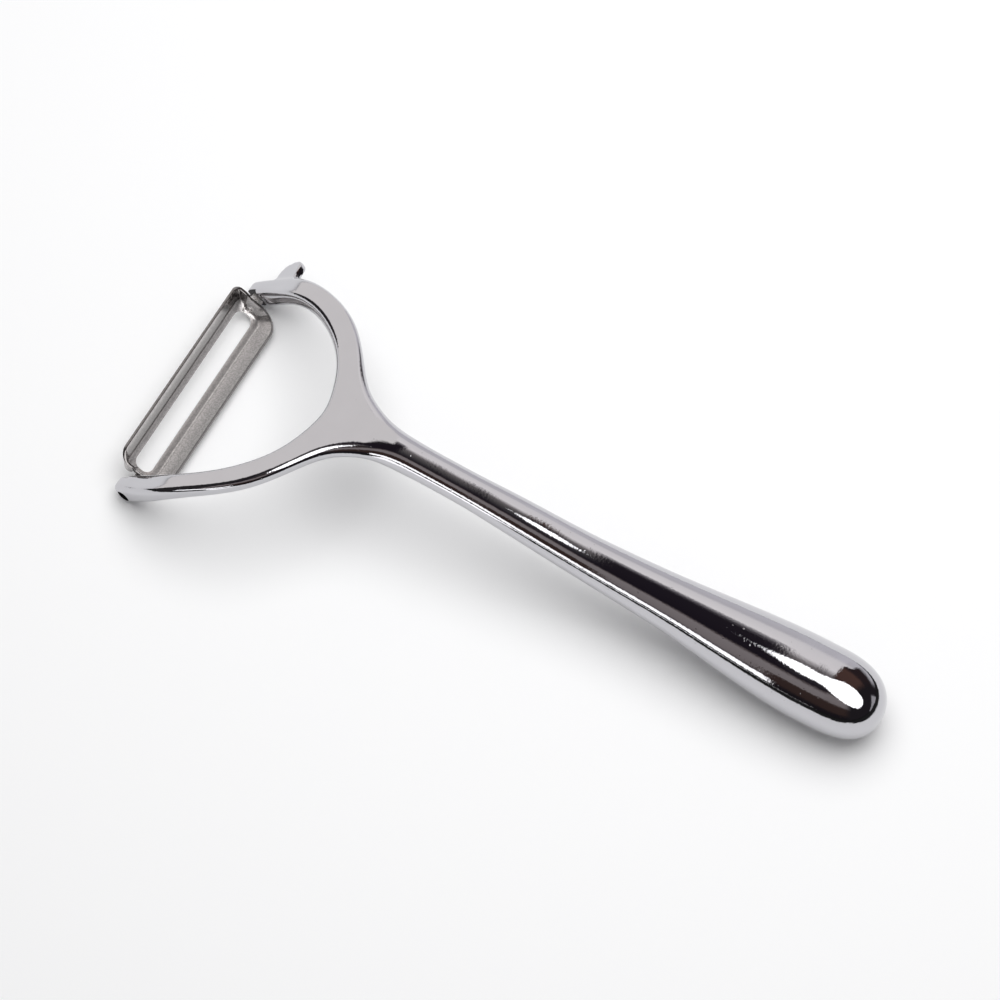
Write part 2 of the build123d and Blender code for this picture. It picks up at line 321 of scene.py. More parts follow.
def settle(field, points, quads, rounds):
    """Evens out the quads, keeping each vertex on the surface."""
    edges = np.vstack([quads[:, (k, (k + 1) % 4)] for k in range(4)])

    def onto_surface(p, times):
        for _ in range(times):
            slope = np.column_stack([
                field(*(p + d).T) - field(*(p - d).T) for d in np.eye(3) * 0.02]) / 0.04
            p = p - slope * (field(*p.T) / np.maximum((slope ** 2).sum(1), 1e-6))[:, None]
        return p

    neighbours = np.bincount(edges.ravel(), minlength=len(points))
    for _ in range(rounds):
        near = np.zeros_like(points)
        for k in range(3):
            near[:, k] = np.bincount(edges[:, 0], points[edges[:, 1], k], len(points))
            near[:, k] += np.bincount(edges[:, 1], points[edges[:, 0], k], len(points))
        points = onto_surface(points * 0.4 + 0.6 * near / neighbours[:, None], 1)
    return onto_surface(points, 2)


# ---------------------------------------------------------------- meshes

def piece(name, points, faces, material):
    """A smooth mesh piece; its points are in millimetres from the pivot's foot."""
    mesh = bpy.data.meshes.new(name)
    mesh.from_pydata((np.asarray(points) + FOOT) * MM, [], [tuple(map(int, f)) for f in faces])
    mesh.shade_smooth()
    mesh.materials.append(material)
    made = bpy.data.objects.new(name, mesh)
    bpy.context.scene.collection.objects.link(made)
    return made


def settle_in(made, body, slot, *nodes):
    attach(made, body)
    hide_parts(*nodes)


def cylinder(name, radius, y0, y1, sides=96):
    """A closed cylinder on the pivot's axis, to cut with."""
    turn = np.linspace(0, 2 * math.pi, sides, endpoint=False)
    ring = np.column_stack([radius * np.cos(turn), np.zeros(sides), PIVOT_HEIGHT + radius * np.sin(turn)])
    points = np.vstack([ring + (0, y0, 0), ring + (0, y1, 0)])
    faces = [(k, k + sides, (k + 1) % sides + sides, (k + 1) % sides) for k in range(sides)]
    faces += [tuple(range(sides)), tuple(range(2 * sides - 1, sides - 1, -1))]
    mesh = bpy.data.meshes.new(name)
    mesh.from_pydata((points + FOOT) * MM, [], faces)
    made = bpy.data.objects.new(name, mesh)
    bpy.context.scene.collection.objects.link(made)
    bm = bmesh.new()
    bm.from_mesh(mesh)
    bmesh.ops.recalc_face_normals(bm, faces=bm.faces)
    bm.to_mesh(mesh)
    bm.free()
    return made


def cut(made, tools):
    """Takes the tools' volume out of a piece and deletes the tools."""
    for tool in tools:
        change = made.modifiers.new("cut", "BOOLEAN")
        change.operation, change.solver, change.object = "DIFFERENCE", "EXACT", tool
    bpy.context.view_layer.update()
    done = bpy.data.meshes.new_from_object(made.evaluated_get(bpy.context.evaluated_depsgraph_get()))
    made.modifiers.clear()
    made.data = done
    for tool in tools:
        bpy.data.objects.remove(tool)
    done.shade_smooth()
    done.set_sharp_from_angle(angle=SHARP_ANGLE)


def loop_of(half_width, half_length, radii, along, corner):
    """A rounded rectangle as points that run round from the middle of the rear rail; radii rear far, front far,
    front near, rear near."""
    rows = []
    for k, (sx, sy) in enumerate(((1, 1), (-1, 1), (-1, -1), (1, -1))):
        r = radii[k]
        turn = np.radians(np.linspace(90 * k, 90 * k + 90, corner))
        centre = (sx * (half_width - r), sy * (half_length - r))
        rows.append(np.column_stack([centre[0] + r * np.cos(turn), centre[1] + r * np.sin(turn)]))
    out = []
    for k, arc in enumerate(rows):
        out.append(arc)
        follow = rows[(k + 1) % 4][0]
        t = np.linspace(0, 1, (along[k % 2]) + 2)[1:-1, None]
        out.append(arc[-1] * (1 - t) + follow * t)
    return np.vstack(out)


def blade_points():
    """The blade's rings, from the slot's edge over the rim and back underneath, in its own plane."""
    corner, along = 21, (25, 61)
    count = 4 * corner + 2 * sum(along)
    end = np.zeros(count)
    at = 0
    for k in range(4):
        ramp = eased(np.linspace(0, 1, corner))
        end[at:at + corner] = ramp if k % 2 == 0 else 1 - ramp
        at += corner
        end[at:at + along[k % 2]] = 1 if k % 2 == 0 else 0
        at += along[k % 2]

    def ring(half_width, half_length, radii, rail_height, end_height, reach=0.0):
        flat = loop_of(half_width, half_length, radii, along, corner)
        front = eased((-1.6 - flat[:, 0]) / 0.9)
        flat[:, 1] += np.sign(flat[:, 1]) * reach * front * end
        kept = 1 - 0.6 * front * (reach > 0)
        return np.column_stack([flat, rail_height + (end_height - rail_height) * end * kept])

    floor, fold, rim = (
        ring(2.4, 24.2, (2.0, 2.0, 2.0, 2.0), -0.7, -0.7),
        ring(3.98, 25.35, (3.0, 0.7, 1.4, 3.0), -0.06, -0.55, 0.85),
        ring(6.6, 26.3, (4.8, 1.2, 3.0, 4.8), 3.75, 2.7, 0.01),
    )
    tight = (0.55 + 0.5 * end)[:, None]
    down = fold + tight * (floor - fold) / np.linalg.norm(floor - fold, axis=1)[:, None]
    up = fold + tight * (rim - fold) / np.linalg.norm(rim - fold, axis=1)[:, None]
    rings = [floor * (1 - t) + down * t for t in (0, 0.12, 0.35, 0.7)]
    rings += [down * (1 - t) ** 2 + 2 * fold * t * (1 - t) + up * t ** 2 for t in np.linspace(0, 1, 9)]
    rings += [up * (1 - t) + rim * t for t in (0.25, 0.5, 0.75, 0.93, 1)]
    top = np.array(rings)
    across = np.gradient(top, axis=0)
    around = (np.roll(top, -1, axis=1) - np.roll(top, 1, axis=1)) / 2
    normal = np.cross(around, across)
    normal /= np.linalg.norm(normal, axis=2)[:, :, None]
    if normal[6, 0, 2] < 0:
        normal = -normal
    run = np.linalg.norm(top - top[0], axis=2)
    depth = 0.1 + 0.6 * np.clip(run / 1.0, 0, 1)
    low = top - normal * depth[:, :, None]
    low[0] = top[0] - (0, 0, 0.1)
    edge = (top[-1] + low[-1]) / 2 + (top[-1] - top[-2]) / np.linalg.norm(
        top[-1] - top[-2], axis=1)[:, None] * 0.12
    polish = np.zeros((2 * len(top) + 1, count))
    walls = eased((np.arange(len(top)) - 8) / 3)[:, None] * np.clip((-top[:, :, 0] - 1.0) / 1.0, 0, 1)
    walls = np.maximum(walls, 0.5 * end[None] * eased((np.arange(len(top)) - 6) / 4)[:, None])
    polish[:len(top)] = walls
    polish[len(top):] = 0.6
    # How far the steel's colour is darkened towards near black, ring by ring: painted shade and painted dark
    # reflections. This gives a black line along the front bend, dark bands on the front bevel and wall, and
    # darkening on the rear bevel, the end walls, the rim's edge and the underside.
    row = np.arange(len(top))[:, None]
    front, rear = (np.clip(sign * top[:, :, 0] - 2.0, 0, 1) for sign in (-1, 1))
    front_shade = np.interp(row, (0, 7, 9, 10, 12, 14, 16, 17), (0.46, 0.50, 0.95, 0.95, 0.76, 0.68, 0.28, 0.16))
    end_shade = np.interp(row, (0, 6, 9, 13, 17), (0, 0.1, 0.75, 0.7, 0.45))
    painted_shade = np.full((2 * len(top) + 1, count), 0.4)
    painted_shade[:len(top)] = np.maximum(front_shade * front + np.interp(row, (0, 6, 9), (0.68, 0.64, 0.0)) * rear, end_shade * end)
    painted_shade[len(top) - 1:len(top) + 3] = 0.75
    return np.concatenate([top, edge[None], low[::-1]]), polish, painted_shade


# ---------------------------------------------------------------- materials

def nodes_of(name):
    """A new material with its node tree and a maker of nodes."""
    material = bpy.data.materials.new(name)
    material.use_nodes = True
    tree = material.node_tree
    tree.nodes.clear()
    return material, tree, adder(tree)


def adder(tree):
    """A function that adds a node to a tree, with its properties or inputs set by name."""
    def add(kind, x=0, y=0, **values):
        node = tree.nodes.new(kind)
        node.location = (x, y)
        for key, value in values.items():
            if hasattr(node, key):
                setattr(node, key, value)
            else:
                node.inputs[key.replace("_", " ")].default_value = value
        return node

    return add


def polished_chrome(settings):
    """Mirror chrome on a polished casting: a faint orange peel, a few pits and a haze in patches."""
    material, tree, add = nodes_of("polished_chrome")
    link = tree.links.new
    shader = add("ShaderNodeBsdfPrincipled", 200, 0, Metallic=1.0)
    out = add("ShaderNodeOutputMaterial", 500, 0)
    place = add("ShaderNodeTexCoord", -1100, 0).outputs["Object"]
    haze = add("ShaderNodeTexNoise", -650, 100, Scale=220.0, Detail=3.0)
    tint = add("ShaderNodeMix", -400, 350, data_type="RGBA")
    tint.inputs[6].default_value = (*settings.chrome_colour, 1)
    tint.inputs[7].default_value = (*[c * 0.95 for c in settings.chrome_colour], 1)
    peel = add("ShaderNodeTexNoise", -650, -200, Scale=1900.0, Detail=3.0)
    pits = add("ShaderNodeTexVoronoi", -650, -400, Scale=420.0)
    link(place, haze.inputs["Vector"])
    link(place, peel.inputs["Vector"])
    link(place, pits.inputs["Vector"])
    link(haze.outputs["Fac"], tint.inputs[0])
    rough = add("ShaderNodeMapRange", -400, 100)
    rough.inputs["To Min"].default_value = 0.008
    rough.inputs["To Max"].default_value = 0.035
    link(haze.outputs["Fac"], rough.inputs["Value"])
    bore_rough_and_shade = bored(tree, add, place)
    link(joined(tree, add, "MAXIMUM", rough.outputs["Result"], joined(tree, add, "MULTIPLY", bore_rough_and_shade, 0.45)),
         shader.inputs["Roughness"])
    # In the bores and pockets the colour goes to near black: painted shade inside the holes.
    link(colours_mixed(tree, add, bore_rough_and_shade, tint.outputs[2], (0.045, 0.042, 0.045)), shader.inputs["Base Color"])
    sunk = ramp_between(tree, add, pits.outputs["Distance"], 0.10, 0.02)
    height = joined(tree, add, "SUBTRACT", peel.outputs["Fac"], joined(tree, add, "MULTIPLY", sunk, 1.5))
    bump = add("ShaderNodeBump", 0, -200, Strength=1.0, Distance=settings.peel_depth)
    link(height, bump.inputs["Height"])
    link(bump.outputs[0], shader.inputs["Normal"])
    link(shader.outputs[0], out.inputs[0])
    return material


def bored(tree, add, place):
    """1 where the casting was bored after it was polished: round the pivot's line, in the pockets and bores. The
    chrome uses it for roughness, and for painted shade: a near-black colour inside the holes.
    """
    split = add("ShaderNodeSeparateXYZ", -900, -600)
    tree.links.new(place, split.inputs[0])
    dx = joined(tree, add, "SUBTRACT", split.outputs["X"], FOOT[0] * MM)
    dz = joined(tree, add, "SUBTRACT", split.outputs["Z"], PIVOT_HEIGHT * MM)
    far = joined(tree, add, "SQRT", joined(tree, add, "ADD", joined(tree, add, "MULTIPLY", dx, dx),
                                           joined(tree, add, "MULTIPLY", dz, dz)), 0.0)
    out = joined(tree, add, "ABSOLUTE", joined(tree, add, "SUBTRACT", split.outputs["Y"], FOOT[1] * MM), 0.0)
    bore = ramp_between(tree, add, far, (BORE_RADIUS + 0.10) * MM, (BORE_RADIUS + 0.02) * MM)
    pocket = joined(tree, add, "MULTIPLY",
                    ramp_between(tree, add, far, (POCKET_RADIUS + 0.10) * MM, (POCKET_RADIUS + 0.02) * MM),
                    ramp_between(tree, add, out, (POCKET_FACE + 0.10) * MM, (POCKET_FACE + 0.02) * MM))
    return joined(tree, add, "MAXIMUM", bore, pocket)


def ground_steel(name, settings, smooth, coarse):
    """Stainless sheet with a fine ground finish: "polish" smooths the walls, and "fold" darkens the colour towards
    near black as painted shade and painted dark reflections.
    """
    material, tree, add = nodes_of(name)
    link = tree.links.new
    shader = add("ShaderNodeBsdfPrincipled", 200, 0, Metallic=1.0)
    out = add("ShaderNodeOutputMaterial", 500, 0)
    place = add("ShaderNodeTexCoord", -1100, 0).outputs["Object"]
    grain = add("ShaderNodeTexNoise", -650, 100, Scale=2600.0, Detail=3.0)
    patch = add("ShaderNodeTexNoise", -650, 300, Scale=300.0, Detail=2.0)
    link(place, grain.inputs["Vector"])
    link(place, patch.inputs["Vector"])
    polish = add("ShaderNodeAttribute", -650, -200, attribute_name="polish")
    share = polish.outputs["Fac"]
    rough = add("ShaderNodeMix", -200, 0)
    link(share, rough.inputs[0])
    rough.inputs[2].default_value, rough.inputs[3].default_value = coarse, smooth
    worn = joined(tree, add, "MULTIPLY", joined(tree, add, "SUBTRACT", patch.outputs["Fac"], 0.5), 0.12)
    link(joined(tree, add, "ADD", rough.outputs[0], worn), shader.inputs["Roughness"])
    metal = add("ShaderNodeMix", -200, 150)
    link(share, metal.inputs[0])
    metal.inputs[2].default_value, metal.inputs[3].default_value = 0.62, 1.0
    link(metal.outputs[0], shader.inputs["Metallic"])
    tint = add("ShaderNodeMix", -200, 350, data_type="RGBA")
    tint.inputs[6].default_value = (*[c * 0.80 for c in settings.steel_colour], 1)
    tint.inputs[7].default_value = (*[min(c * 1.12, 1) for c in settings.steel_colour], 1)
    link(ramp_between(tree, add, grain.outputs["Fac"], 0.40, 0.60), tint.inputs[0])
    # The "fold" attribute darkens the colour towards near black: painted shade and painted dark reflections.
    fold = add("ShaderNodeAttribute", -650, -400, attribute_name="fold").outputs["Fac"]
    link(colours_mixed(tree, add, fold, tint.outputs[2], (0.06, 0.055, 0.055)), shader.inputs["Base Color"])
    bump = add("ShaderNodeBump", 0, -200, Distance=settings.grain_depth)
    link(joined(tree, add, "SUBTRACT", 1.0, share), bump.inputs["Strength"])
    link(grain.outputs["Fac"], bump.inputs["Height"])
    link(bump.outputs[0], shader.inputs["Normal"])
    link(shader.outputs[0], out.inputs[0])
    return material


def pale_table(settings):
    """The table: pale and matt; the metal's mirror rays alone see it end in the dark and glow in one bright patch:
    a painted dark surround and a painted bright reflection, which is no lamp.
    """
    material, tree, add = nodes_of("table")
    link = tree.links.new
    pale = add("ShaderNodeBsdfDiffuse", 0, 150)
    pale.inputs["Color"].default_value = (*settings.floor_colour, 1)
    dark = add("ShaderNodeBsdfDiffuse", 0, 0)
    dark.inputs["Color"].default_value = (0.02, 0.02, 0.02, 1)
    mix = add("ShaderNodeMixShader", 300, 0)
    out = add("ShaderNodeOutputMaterial", 500, 0)
    place = add("ShaderNodeTexCoord", -1100, 0)
    split = add("ShaderNodeSeparateXYZ", -900, 0)
    path = add("ShaderNodeLightPath", -500, 300)
    link(place.outputs["Object"], split.inputs[0])
    # Past these edges the metal's mirror rays see the table near black: a painted dark surround, seen only in
    # reflections.
    front = ramp_between(tree, add, split.outputs["Y"], (FOOT[1] - 74) * MM, (FOOT[1] - 84) * MM)
    left = joined(tree, add, "MULTIPLY",
                  ramp_between(tree, add, split.outputs["X"], (FOOT[0] - 85) * MM, (FOOT[0] - 100) * MM),
                  ramp_between(tree, add, split.outputs["Y"], (FOOT[1] - 20) * MM, (FOOT[1] - 40) * MM))
    right = ramp_between(tree, add, split.outputs["X"], (FOOT[0] + 225) * MM, (FOOT[0] + 240) * MM)
    beyond = joined(tree, add, "MAXIMUM", joined(tree, add, "MAXIMUM", front, left), right)
    # A patch of the table past its front edge glows for mirror rays only: a painted bright reflection, not a lamp.
    glossy_glow_patch = joined(tree, add, "MULTIPLY",
                  ramp_between(tree, add, split.outputs["X"], (FOOT[0] + 72) * MM, (FOOT[0] + 62) * MM),
                  ramp_between(tree, add, split.outputs["X"], (FOOT[0] + 26) * MM, (FOOT[0] + 36) * MM))
    glossy_glow_patch = joined(tree, add, "MULTIPLY", glossy_glow_patch, front)
    beyond = joined(tree, add, "SUBTRACT", beyond, glossy_glow_patch)
    link(joined(tree, add, "MULTIPLY", beyond, path.outputs["Is Glossy Ray"]), mix.inputs[0])
    glow = add("ShaderNodeEmission", 0, -200)
    link(joined(tree, add, "MULTIPLY", glossy_glow_patch, path.outputs["Is Glossy Ray"]), glow.inputs["Strength"])
    both = add("ShaderNodeAddShader", 150, 150)
    link(pale.outputs[0], both.inputs[0])
    link(glow.outputs[0], both.inputs[1])
    link(both.outputs[0], mix.inputs[1])
    link(dark.outputs[0], mix.inputs[2])
    link(mix.outputs[0], out.inputs[0])
    return material


def ramp_between(tree, add, value, start, end):
    """A soft step from 0 to 1 while a value goes from start to end."""
    node = add("ShaderNodeMapRange", -700, 0, interpolation_type="SMOOTHSTEP")
    low, high = (start, end) if start < end else (end, start)
    node.inputs["From Min"].default_value, node.inputs["From Max"].default_value = low, high
    node.inputs["To Min"].default_value, node.inputs["To Max"].default_value = (0, 1) if start < end else (1, 0)
    tree.links.new(value, node.inputs["Value"])
    return node.outputs["Result"]


def ramp_of(tree, add, value, rows):
    """A colour that follows a value from 0 to 1 through the given rows of place and colour."""
    node = add("ShaderNodeValToRGB", -600, 0)
    tree.links.new(value, node.inputs[0])
    stops = node.color_ramp.elements
    while len(stops) < len(rows):
        stops.new(1.0)
    for stop, (place, colour) in zip(stops, rows):
        stop.position = place
        stop.color = (*colour, 1)
    return node.outputs[0]


def joined(tree, add, operation, a, b):
    """Two values, or a value and a number, joined by one operation."""
    node = add("ShaderNodeMath", -300, 0, operation=operation)
    for socket, value in zip(node.inputs, (a, b)):
        if isinstance(value, (int, float)):
            socket.default_value = value
        else:
            tree.links.new(value, socket)
    return node.outputs[0]


def colours_mixed(tree, add, share, a, b):
    """One colour turning into another as the share goes from 0 to 1."""
    node = add("ShaderNodeMix", 0, 0, data_type="RGBA")
    tree.links.new(share, node.inputs[0])
    for socket, value in zip(node.inputs[6:8], (a, b)):
        if isinstance(value, tuple):
            socket.default_value = (*value, 1)
        else:
            tree.links.new(value, socket)
    return node.outputs[2]


def studio(settings):
    """The studio: even light all round, and bands by angle that only the metal's mirror rays see."""
    world = bpy.data.worlds.new("studio")
    world.use_nodes = True
    tree = world.node_tree
    tree.nodes.clear()
    link, add = tree.links.new, adder(tree)

    split = add("ShaderNodeSeparateXYZ", -1200, 0)
    link(add("ShaderNodeTexCoord", -1400, 0).outputs["Generated"], split.inputs[0])
    along, away, up = (split.outputs[k] for k in range(3))
    turn = joined(tree, add, "ARCTAN2", joined(tree, add, "MULTIPLY", away, -1.0), up)
    place = joined(tree, add, "ADD", joined(tree, add, "DIVIDE", turn, 2 * math.pi), 0.5)

    def bands(rows):
        ramp = ramp_of(tree, add, place, [(d / 360 + 0.5, [c / BRIGHTEST_BAND for c in colour])
                                     for d, colour in rows])
        strong = add("ShaderNodeVectorMath", -300, 0, operation="SCALE")
        strong.inputs[3].default_value = BRIGHTEST_BAND
        link(ramp, strong.inputs[0])
        return strong.outputs[0]

    # behind the fork the room is light, left of it and past the handle's end it is dark
    behind = joined(tree, add, "MULTIPLY", ramp_between(tree, add, along, -0.195, -0.24),
                    ramp_between(tree, add, turn, math.radians(-4), math.radians(-14)))
    seen = colours_mixed(tree, add, behind, bands(STUDIO_BANDS), (0.96, 0.93, 0.91))
    left = joined(tree, add, "MULTIPLY", ramp_between(tree, add, along, -0.27, -0.36),
                  ramp_between(tree, add, turn, math.radians(-12), math.radians(-2)))
    seen = colours_mixed(tree, add, left, seen, (0.03, 0.028, 0.03))
    right = colours_mixed(tree, add, ramp_between(tree, add, along, 0.5, 0.72), bands(RIGHT_BANDS),
                          colours_mixed(tree, add, ramp_between(tree, add, along, 0.84, 0.88), (0.02, 0.017, 0.02),
                                        bands(END_BANDS)))
    square = joined(tree, add, "MULTIPLY", ramp_between(tree, add, along, -0.09, -0.04),
                    ramp_between(tree, add, along, 0.065, 0.045))
    seen = colours_mixed(tree, add, square, seen, bands(SQUARE_BANDS))
    edge = joined(tree, add, "SUBTRACT", ramp_of(tree, add, place, [
        (d / 360 + 0.5, [u - LOWEST_LEAN] * 3) for d, u in RIGHT_EDGE]), -LOWEST_LEAN)
    past = ramp_between(tree, add, joined(tree, add, "SUBTRACT", along, edge), -0.015, 0.03)
    seen = colours_mixed(tree, add, past, seen, right)

    path = add("ShaderNodeLightPath", -300, 500)
    even = ramp_between(tree, add, up, -0.2, 1.0)
    light = colours_mixed(tree, add, even, settings.low_light[:], settings.high_light[:])
    light = colours_mixed(tree, add, path.outputs["Is Camera Ray"], light, tuple(settings.background))
    seen = colours_mixed(tree, add, path.outputs["Is Glossy Ray"], light, seen)
    background = add("ShaderNodeBackground", 300, 0)
    link(seen, background.inputs[0])
    link(background.outputs[0], add("ShaderNodeOutputWorld", 500, 0).inputs[0])
    world.cycles.sampling_method = "NONE"
    return world


# ---------------------------------------------------------------- settings, operators and panel

def lamp_at(name, shape, size, size_y, power, place):
    """An area lamp that shines down, at a place in millimetres from the pivot's foot."""
    light = bpy.data.lights.new(name, "AREA")
    light.shape, light.size, light.energy = shape, size, power
    if size_y:
        light.size_y = size_y
    lamp = bpy.data.objects.new(name, light)
    lamp.location = Vector((np.array(place) + FOOT) * MM)
    bpy.context.scene.collection.objects.link(lamp)
    return lamp


class PeelerMetalSettings(bpy.types.PropertyGroup):
    """Sizes and colours of the peeler's metal pieces."""

    skin_step: FloatProperty(name="Skin Step", description="Spacing of the casting's vertices",
                             default=0.0005, min=0.0003, subtype="DISTANCE", unit="LENGTH", precision=5)
    chrome_colour: FloatVectorProperty(name="Chrome", description="Colour of the chrome's reflections",
                                       subtype="COLOR", default=(0.56, 0.555, 0.58), min=0, max=1)
    steel_colour: FloatVectorProperty(name="Steel", description="Colour of the blade's steel",
                                      subtype="COLOR", default=(0.76, 0.73, 0.72), min=0, max=1)
    peel_depth: FloatProperty(name="Orange Peel", description="Depth of the chrome's fine waviness",
                              default=0.000012, subtype="DISTANCE", unit="LENGTH", precision=6)
    grain_depth: FloatProperty(name="Grain", description="Depth of the blade's ground finish",
                               default=0.000006, subtype="DISTANCE", unit="LENGTH", precision=6)
    pin_seat_length: FloatProperty(name="Pin Seat", description="Length of a pin's thick end", default=0.0026,
                                   subtype="DISTANCE", unit="LENGTH", precision=5)
    pin_journal_length: FloatProperty(name="Pin Journal", description="Length of a pin's thin end",
                                      default=0.0025, subtype="DISTANCE", unit="LENGTH", precision=5)
    pin_journal_radius: FloatProperty(name="Journal Radius", description="Radius of a pin's thin end",
                                      default=0.0006, subtype="DISTANCE", unit="LENGTH", precision=5)
    blade_tilt: FloatProperty(name="Blade Tilt", description="How far the blade leans back at rest",
                              default=math.radians(31.8), subtype="ANGLE")


class PeelerStageSettings(bpy.types.PropertyGroup):
    """The camera, the floor and the light."""

    azimuth: FloatProperty(name="Azimuth", description="Where the camera stands round the peeler",
                           default=math.radians(28.93), subtype="ANGLE")
    elevation: FloatProperty(name="Elevation", description="How high the camera looks down from",
                             default=math.radians(62.437), subtype="ANGLE")
    distance: FloatProperty(name="Distance", description="From the camera to the peeler",
                            default=0.8, subtype="DISTANCE", unit="LENGTH")
    floor_colour: FloatVectorProperty(name="Floor", description="Colour of the table", subtype="COLOR",
                                      default=(0.95, 0.95, 0.955), min=0, max=1)
    background: FloatVectorProperty(name="Background", description="Colour behind the table", subtype="COLOR",
                                    default=(0.95, 0.95, 0.955), min=0, max=1)
    low_light: FloatVectorProperty(name="Low Light", description="Light of the room from its sides",
                                   subtype="COLOR", default=(0.12, 0.12, 0.122), min=0, max=4)
    high_light: FloatVectorProperty(name="High Light", description="Light of the room from above",
                                    subtype="COLOR", default=(0.42, 0.42, 0.42), min=0, max=4)
    lamp_size: FloatProperty(name="Lamp Size", description="Width of the overhead lamp", default=0.9,
                             subtype="DISTANCE", unit="LENGTH")
    lamp_power: FloatProperty(name="Lamp Power", description="Power of the overhead lamp in watts", default=5.1)
    lamp_place: FloatVectorProperty(name="Lamp Place", description="Place of the lamp, mm from the pivot's foot",
                                    default=(95.0, 215.0, 690.0))
    box_length: FloatProperty(name="Softbox Length", description="Length of the softbox over the handle's end",
                              default=0.66, subtype="DISTANCE", unit="LENGTH")
    box_width: FloatProperty(name="Softbox Width", description="Width of the softbox over the handle's end",
                             default=0.37, subtype="DISTANCE", unit="LENGTH")
    box_power: FloatProperty(name="Softbox Power", description="Power of the softbox in watts", default=1.6)
    box_place: FloatVectorProperty(name="Softbox Place", description="Its place, mm from the pivot's foot",
                                   default=(382.0, -86.0, 396.0))
    strip_length: FloatProperty(name="Strip Length", description="Length of the strip light in front",
                                default=0.26, subtype="DISTANCE", unit="LENGTH")
    strip_height: FloatProperty(name="Strip Height", description="Height of the strip light in front",
                                default=0.060, subtype="DISTANCE", unit="LENGTH")
    strip_power: FloatProperty(name="Strip Power", description="Power of the strip light in watts", default=0.10)
    strip_place: FloatVectorProperty(name="Strip Place", description="Its place, mm from the pivot's foot",
                                     default=(-18.0, -300.0, 60.0))


class PEELER_OT_casting(bpy.types.Operator):
    """Make the fork, neck, handle and eye remover as one smooth casting"""

    bl_idname = "peeler.casting"
    bl_label = "Make Casting"

    def execute(self, context):
        settings = context.scene.peeler_metal
        field, step = casting_field(), settings.skin_step / MM
        points, quads = skin(field, (-4.2, -34.2, -1.2), (182.4, 39.4, 29.4), step)
        points = settle(field, points, quads, 6)
        made = piece("casting", points, quads, polished_chrome(settings))
        tools = []
        for side in (-1, 1):
            tools.append(cylinder("bore", BORE_RADIUS, side * 28.0, side * 40.0))
            tools.append(cylinder("pocket", POCKET_RADIUS, side * 26.0, side * POCKET_FACE))
        cut(made, tools)
        settle_in(made, "frame", "polished_chrome", "fork_and_handle")
        return {"FINISHED"}


class PEELER_OT_blade(bpy.types.Operator):
    """Make the slotted blade with its rails and end walls"""

    bl_idname = "peeler.blade"
    bl_label = "Make Blade"

    def execute(self, context):
        settings = context.scene.peeler_metal
        rings, polish, painted_shade = blade_points()
        m, n = rings.shape[:2]
        a = settings.blade_tilt
        flat = rings.reshape(-1, 3)
        c, y, t = flat.T
        points = np.column_stack([c * math.cos(a) + t * math.sin(a), y,
                                  PIVOT_HEIGHT - c * math.sin(a) + t * math.cos(a)])
        faces = [(i * n + j, i * n + (j + 1) % n, (i + 1) % m * n + (j + 1) % n, (i + 1) % m * n + j)
                 for i in range(m) for j in range(n)]
        made = piece("blade", points, faces, ground_steel("blade_steel", settings, 0.09, 0.24))
        # The "fold" attribute carries the blade's painted shade and painted dark reflections.
        for name, values in (("polish", polish), ("fold", painted_shade)):
            made.data.attributes.new(name, "FLOAT", "POINT").data.foreach_set("value", values.ravel())
        bm = bmesh.new()
        bm.from_mesh(made.data)
        bmesh.ops.recalc_face_normals(bm, faces=bm.faces)
        bm.to_mesh(made.data)
        bm.free()
        cut(made, [cylinder("hole", BLADE_HOLE_RADIUS, -30, 30, 48)])
        settle_in(made, "blade", "blade_steel", "swivel_blade")
        return {"FINISHED"}


class PEELER_OT_pins(bpy.types.Operator):
    """Turn the two stepped pivot pins"""

    bl_idname = "peeler.pins"
    bl_label = "Turn Pins"

    def execute(self, context):
        settings = context.scene.peeler_metal
        steel = ground_steel("pin_steel", settings, 0.10, 0.10)
        tree, sockets = turned_pin(steel)
        seat = settings.pin_seat_length / MM
        for side, name in ((-1, "turned_pin_left"), (1, "turned_pin_right")):
            mesh = bpy.data.meshes.new(name)
            mesh.materials.append(steel)
            made = bpy.data.objects.new(name, mesh)
            context.scene.collection.objects.link(made)
            turn = made.modifiers.new("turned pin", "NODES")
            turn.node_group = tree
            head = np.array((0.0, side * (PIN_FACE + seat), PIVOT_HEIGHT)) + FOOT
            foot = head - (0, side * (seat + settings.pin_journal_length / MM), 0)
            values = {"Head": head * MM, "Foot": foot * MM, "Seat Length": settings.pin_seat_length,
                      "Seat Radius": BORE_RADIUS * MM, "Journal Radius": settings.pin_journal_radius,
                      "Edge Rounding": PIN_ROUNDING * MM}
            for key, value in values.items():
                turn[sockets[key]] = [float(v) for v in value] if key in ("Head", "Foot") else float(value)
            context.view_layer.update()
            done = bpy.data.meshes.new_from_object(made.evaluated_get(context.evaluated_depsgraph_get()))
            made.modifiers.clear()
            made.data = done
            if len(done.vertices) < 100:
                raise RuntimeError(f"{name} came out empty")
            bm = bmesh.new()
            bm.from_mesh(done)
            bmesh.ops.remove_doubles(bm, verts=bm.verts, dist=1e-7)
            bmesh.ops.recalc_face_normals(bm, faces=bm.faces)
            bm.to_mesh(done)
            bm.free()
            done.shade_smooth()
            done.set_sharp_from_angle(angle=SHARP_ANGLE)
            settle_in(made, "frame", "pin_steel", "pivot_pin_left" if side < 0 else "pivot_pin_right")
        return {"FINISHED"}


